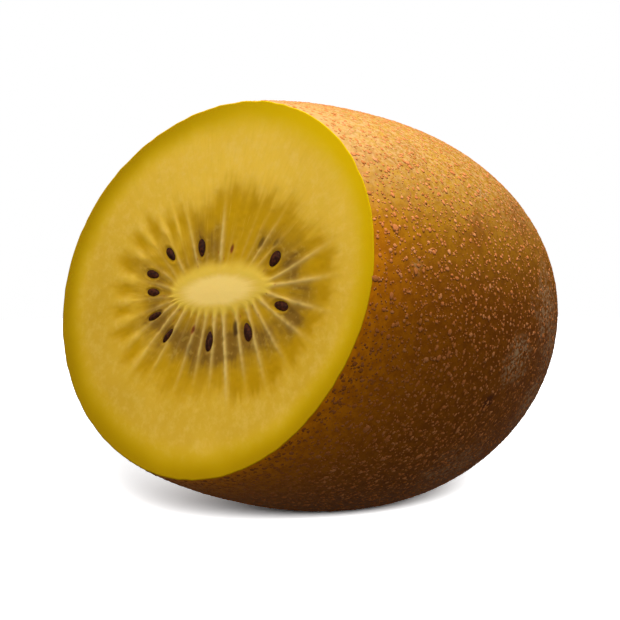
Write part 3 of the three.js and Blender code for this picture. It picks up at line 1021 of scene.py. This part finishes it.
def seed_finish():
    """Nearly black brown with a red glow where the coat is thin and pitted."""
    add, finish = new_material("kiwi_seed", {"Specular IOR Level": 0.08})
    grain = grained(add, 3400, 0.42, 0.6, 0.00003)
    return finish(mixed(add, stepped(add, grain["Mask"], 0.4, 0.7), SEED_DARK, SEED_RED), grain)


seed_points = np.stack([seed_shape(*seed) for seed in SEEDS])
seed_faces = repeated(ring_faces(SEED_RINGS, SEED_AROUND), len(SEEDS), seed_points.shape[1])
seeds = new_piece("seeds", lying(seed_points), seed_faces)
seeds.data.materials.append(seed_finish())
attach(seeds, "root")


# The fruit lies on a round white table in a pale room. A broad soft light hangs above it, a weaker one
# stands before the cut face, and a low one lights the table alone, so that only a soft shadow close to the
# fruit is left on it.
TABLE_RADIUS = 0.16
TABLE_SIDES = 96
TABLE_SHOWN = (1.5, 1.5, 1.5, 1)
TABLE_BOUNCED = (0.09, 0.09, 0.09, 1)
ROOM_FILL = 0.8
ROOM_GLOSS = 0.06
# Each lamp: its azimuth, elevation, distance, size, power, and what it lights
LAMPS = {
    "overhead": (170, 79, 0.6, 0.4, 4.5, "fruit"),
    "front": (-12, 38, 0.7, 0.5, 1.5, "fruit"),
    "table": (50, 21, 0.7, 0.3, 14, "table"),
}


def direction(azimuth, elevation):
    """The way from the fruit to something at that azimuth, counted from -Y towards +X, and that
    elevation."""
    level = math.cos(elevation)
    return Vector((math.sin(azimuth) * level, -math.cos(azimuth) * level, math.sin(elevation)))


def aim(thing, place, target):
    """Puts thing at place and turns its -Z axis towards target, with its Y axis as near to upwards as it
    can be."""
    thing.location = place
    thing.rotation_euler = (target - place).to_track_quat("-Z", "Y").to_euler()


def white_table():
    """A disc that shows as white paper, and gives little of the light back to the fruit."""
    turn = np.arange(TABLE_SIDES) / TABLE_SIDES * FULL_TURN
    edge = TABLE_RADIUS * np.stack([np.cos(turn), np.sin(turn), np.zeros(TABLE_SIDES)], axis=-1)
    table = new_piece("table", edge, [np.arange(TABLE_SIDES)[None]])
    material = bpy.data.materials.new("white_paper")
    material.use_nodes = True
    add = adder(material.node_tree)
    seen = add("ShaderNodeLightPath").outputs["Is Camera Ray"]
    bounced = add("ShaderNodeBsdfDiffuse", {"Color": TABLE_BOUNCED}).outputs[0]
    shown = add("ShaderNodeBsdfDiffuse", {"Color": TABLE_SHOWN}).outputs[0]
    material.node_tree.links.new(
        add("ShaderNodeMixShader", {0: seen, 1: bounced, 2: shown}).outputs[0],
        material.node_tree.nodes["Material Output"].inputs["Surface"],
    )
    table.data.materials.append(material)
    return table


def pale_room():
    """White where the camera sees it. It lights the fruit from above the table only, and hardly shows in
    gloss."""
    world = bpy.data.worlds.new("room")
    bpy.context.scene.world = world
    world.use_nodes = True
    add = adder(world.node_tree)
    rays = add("ShaderNodeLightPath")
    way = add("ShaderNodeTexCoord").outputs["Generated"]
    height = add("ShaderNodeSeparateXYZ", {0: way}).outputs["Z"]
    fill = worked(add, worked(add, height, 0.0, "GREATER_THAN"), ROOM_FILL)
    dimmed = {0: rays.outputs["Is Glossy Ray"], 1: ROOM_GLOSS - 1, 2: 1.0}
    fill = worked(add, fill, add("ShaderNodeMath", dimmed, operation="MULTIPLY_ADD").outputs[0])
    room = add("ShaderNodeBackground", {"Color": (1, 1, 1, 1), "Strength": fill}).outputs[0]
    backdrop = add("ShaderNodeBackground", {"Color": (1, 1, 1, 1)}).outputs[0]
    world.node_tree.links.new(
        add("ShaderNodeMixShader", {0: rays.outputs["Is Camera Ray"], 1: room, 2: backdrop}).outputs[0],
        world.node_tree.nodes["World Output"].inputs["Surface"],
    )


def lamp(name, receivers, azimuth, elevation, distance, size, power, lights):
    """A round soft light, aimed at the fruit's middle, that lights only the things in its own
    collection."""
    light = bpy.data.objects.new(name, bpy.data.lights.new(name, "AREA"))
    light.data.shape = "DISK"
    light.data.size = size
    light.data.energy = power
    light.light_linking.receiver_collection = receivers[lights]
    bpy.context.scene.collection.objects.link(light)
    way = direction(math.radians(azimuth), math.radians(elevation))
    aim(light, FRUIT_MIDDLE + distance * way, FRUIT_MIDDLE)


receivers = {"fruit": bpy.data.collections.new("lit_fruit"), "table": bpy.data.collections.new("lit_table")}
for piece in (skin, spots, specks, scar, flesh, seeds):
    receivers["fruit"].objects.link(piece)
receivers["table"].objects.link(white_table())
pale_room()
for name, settings in LAMPS.items():
    lamp(name, receivers, *settings)
bpy.context.scene.view_settings.view_transform = "Standard"


# The camera stands nearly half a metre off, to the right of the cut face and a little above it, with a long
# lens. It is turned a little off the fruit's middle, by FRAMING, to give the picture its margins.
CAMERA = {"azimuth": 44.28, "elevation": 8, "distance": 0.45, "lens": 225.1, "sensor": 36}
FRAMING = (0.00263, -0.00056)

camera_azimuth = math.radians(CAMERA["azimuth"])
to_camera = direction(camera_azimuth, math.radians(CAMERA["elevation"]))
picture_right = Vector((math.cos(camera_azimuth), math.sin(camera_azimuth), 0))
picture_up = to_camera.cross(picture_right)
camera = bpy.data.objects.new("camera", bpy.data.cameras.new("camera"))
bpy.context.scene.collection.objects.link(camera)
bpy.context.scene.camera = camera
camera.data.sensor_width = CAMERA["sensor"]
camera.data.lens = CAMERA["lens"]
camera.data.clip_start = 0.01
camera.data.clip_end = 20
camera_target = FRUIT_MIDDLE + FRAMING[0] * picture_right + FRAMING[1] * picture_up
aim(camera, FRUIT_MIDDLE + CAMERA["distance"] * to_camera, camera_target)
